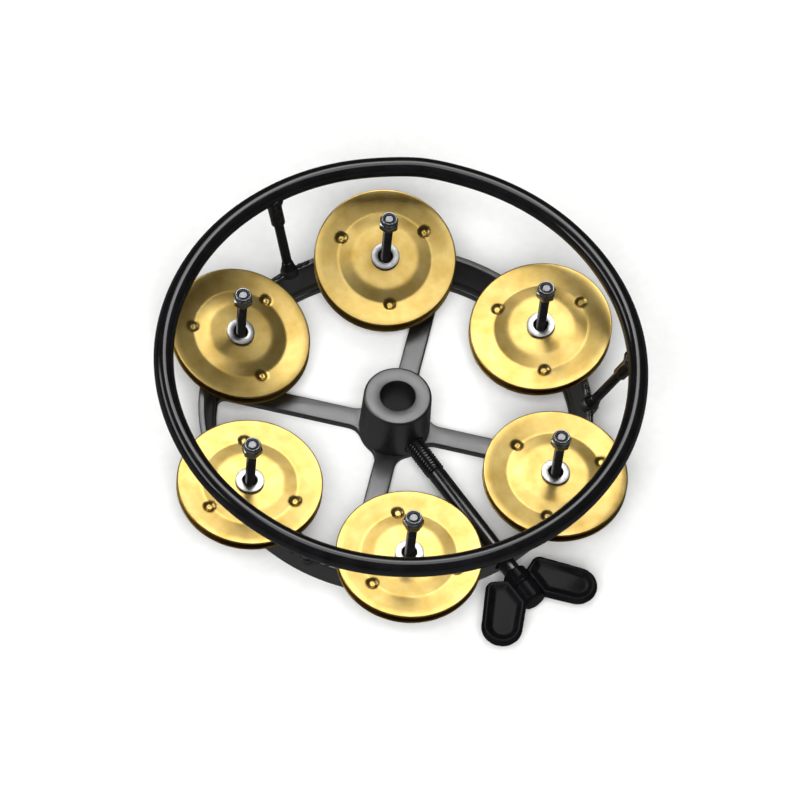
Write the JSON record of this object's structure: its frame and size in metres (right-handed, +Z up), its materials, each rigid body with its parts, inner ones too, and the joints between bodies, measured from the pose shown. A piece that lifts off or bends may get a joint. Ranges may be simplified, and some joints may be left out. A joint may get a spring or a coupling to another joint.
{
  "type": "tambourine",
  "caption": "Hi-hat tambourine: a cast spoked wheel with a rod bore and wing bolt, loose jingle pairs on threaded posts round its rim, and a round guard ring on struts above them.",
  "frame": {"origin": "on the rod bore's axis, in the wheel's flat underside", "axes": "+Z up along the rod bore; the clamp bolt leaves the hub along -Y"},
  "size_m": [0.1497, 0.1573, 0.0414],
  "materials": {
    "black_coat": "gloss black powder coat",
    "brass": "bright satin, turned",
    "zinc": "bright zinc plate",
    "nickel": "nickel plate",
    "black_oxide": "black oxide, threaded",
    "nylon": "dark nylon",
    "black_cast": "high gloss black on a die casting"
  },
  "bodies": {
    "frame": {"wheel_casting": "black_coat", "guard_ring": "black_coat", "strut_1": "black_coat", "strut_2": "black_coat", "strut_3": "black_coat", "strut_socket_1": "black_coat", "strut_socket_2": "black_coat", "strut_socket_3": "black_coat", "post_screw_1": "black_oxide", "lock_nut_1": "zinc", "nut_insert_1": "nylon", "post_screw_2": "black_oxide", "lock_nut_2": "zinc", "nut_insert_2": "nylon", "post_screw_3": "black_oxide", "lock_nut_3": "zinc", "nut_insert_3": "nylon", "post_screw_4": "black_oxide", "lock_nut_4": "zinc", "nut_insert_4": "nylon", "post_screw_5": "black_oxide", "lock_nut_5": "zinc", "nut_insert_5": "nylon", "post_screw_6": "black_oxide", "lock_nut_6": "zinc", "nut_insert_6": "nylon"},
    "lower_jingle_1": {"lower_jingle_1": "brass"},
    "upper_jingle_1": {"upper_jingle_1": "brass"},
    "washer_1": {"washer_1": "nickel"},
    "lower_jingle_2": {"lower_jingle_2": "brass"},
    "upper_jingle_2": {"upper_jingle_2": "brass"},
    "washer_2": {"washer_2": "nickel"},
    "lower_jingle_3": {"lower_jingle_3": "brass"},
    "upper_jingle_3": {"upper_jingle_3": "brass"},
    "washer_3": {"washer_3": "nickel"},
    "lower_jingle_4": {"lower_jingle_4": "brass"},
    "upper_jingle_4": {"upper_jingle_4": "brass"},
    "washer_4": {"washer_4": "nickel"},
    "lower_jingle_5": {"lower_jingle_5": "brass"},
    "upper_jingle_5": {"upper_jingle_5": "brass"},
    "washer_5": {"washer_5": "nickel"},
    "lower_jingle_6": {"lower_jingle_6": "brass"},
    "upper_jingle_6": {"upper_jingle_6": "brass"},
    "washer_6": {"washer_6": "nickel"},
    "bolt_shaft": {"bolt_shaft": "black_oxide"},
    "wing_handle": {"wing_handle": "black_cast"}
  },
  "joints": [
    {"name": "lower_jingle_1_lift", "type": "slide", "parent": "frame", "child": "lower_jingle_1", "axis": [0, 0, 1], "range_m": [0, 0.005]},
    {"name": "upper_jingle_1_lift", "type": "slide", "parent": "lower_jingle_1", "child": "upper_jingle_1", "axis": [0, 0, 1], "range_m": [0, 0.004]},
    {"name": "washer_1_lift", "type": "slide", "parent": "upper_jingle_1", "child": "washer_1", "axis": [0, 0, 1], "range_m": [0, 0.003]},
    {"name": "lower_jingle_2_lift", "type": "slide", "parent": "frame", "child": "lower_jingle_2", "axis": [0, 0, 1], "range_m": [0, 0.005]},
    {"name": "upper_jingle_2_lift", "type": "slide", "parent": "lower_jingle_2", "child": "upper_jingle_2", "axis": [0, 0, 1], "range_m": [0, 0.004]},
    {"name": "washer_2_lift", "type": "slide", "parent": "upper_jingle_2", "child": "washer_2", "axis": [0, 0, 1], "range_m": [0, 0.003]},
    {"name": "lower_jingle_3_lift", "type": "slide", "parent": "frame", "child": "lower_jingle_3", "axis": [0, 0, 1], "range_m": [0, 0.005]},
    {"name": "upper_jingle_3_lift", "type": "slide", "parent": "lower_jingle_3", "child": "upper_jingle_3", "axis": [0, 0, 1], "range_m": [0, 0.004]},
    {"name": "washer_3_lift", "type": "slide", "parent": "upper_jingle_3", "child": "washer_3", "axis": [0, 0, 1], "range_m": [0, 0.003]},
    {"name": "lower_jingle_4_lift", "type": "slide", "parent": "frame", "child": "lower_jingle_4", "axis": [0, 0, 1], "range_m": [0, 0.005]},
    {"name": "upper_jingle_4_lift", "type": "slide", "parent": "lower_jingle_4", "child": "upper_jingle_4", "axis": [0, 0, 1], "range_m": [0, 0.004]},
    {"name": "washer_4_lift", "type": "slide", "parent": "upper_jingle_4", "child": "washer_4", "axis": [0, 0, 1], "range_m": [0, 0.003]},
    {"name": "lower_jingle_5_lift", "type": "slide", "parent": "frame", "child": "lower_jingle_5", "axis": [0, 0, 1], "range_m": [0, 0.005]},
    {"name": "upper_jingle_5_lift", "type": "slide", "parent": "lower_jingle_5", "child": "upper_jingle_5", "axis": [0, 0, 1], "range_m": [0, 0.004]},
    {"name": "washer_5_lift", "type": "slide", "parent": "upper_jingle_5", "child": "washer_5", "axis": [0, 0, 1], "range_m": [0, 0.003]},
    {"name": "lower_jingle_6_lift", "type": "slide", "parent": "frame", "child": "lower_jingle_6", "axis": [0, 0, 1], "range_m": [0, 0.005]},
    {"name": "upper_jingle_6_lift", "type": "slide", "parent": "lower_jingle_6", "child": "upper_jingle_6", "axis": [0, 0, 1], "range_m": [0, 0.004]},
    {"name": "washer_6_lift", "type": "slide", "parent": "upper_jingle_6", "child": "washer_6", "axis": [0, 0, 1], "range_m": [0, 0.003]},
    {"name": "bolt_advance", "type": "slide", "parent": "frame", "child": "bolt_shaft", "axis": [0, 1, 0], "range_m": [-0.004, 0.0032]},
    {"name": "wing_turn", "type": "hinge", "parent": "bolt_shaft", "child": "wing_handle", "pos_m": [0, -0.0636, 0.0057], "axis": [0, 1, 0], "range_deg": [-1484, 1197]}
  ],
  "couplings": [
    {"joint": "wing_turn", "follows": "bolt_advance", "rad_per_m": 6283.2}
  ]
}
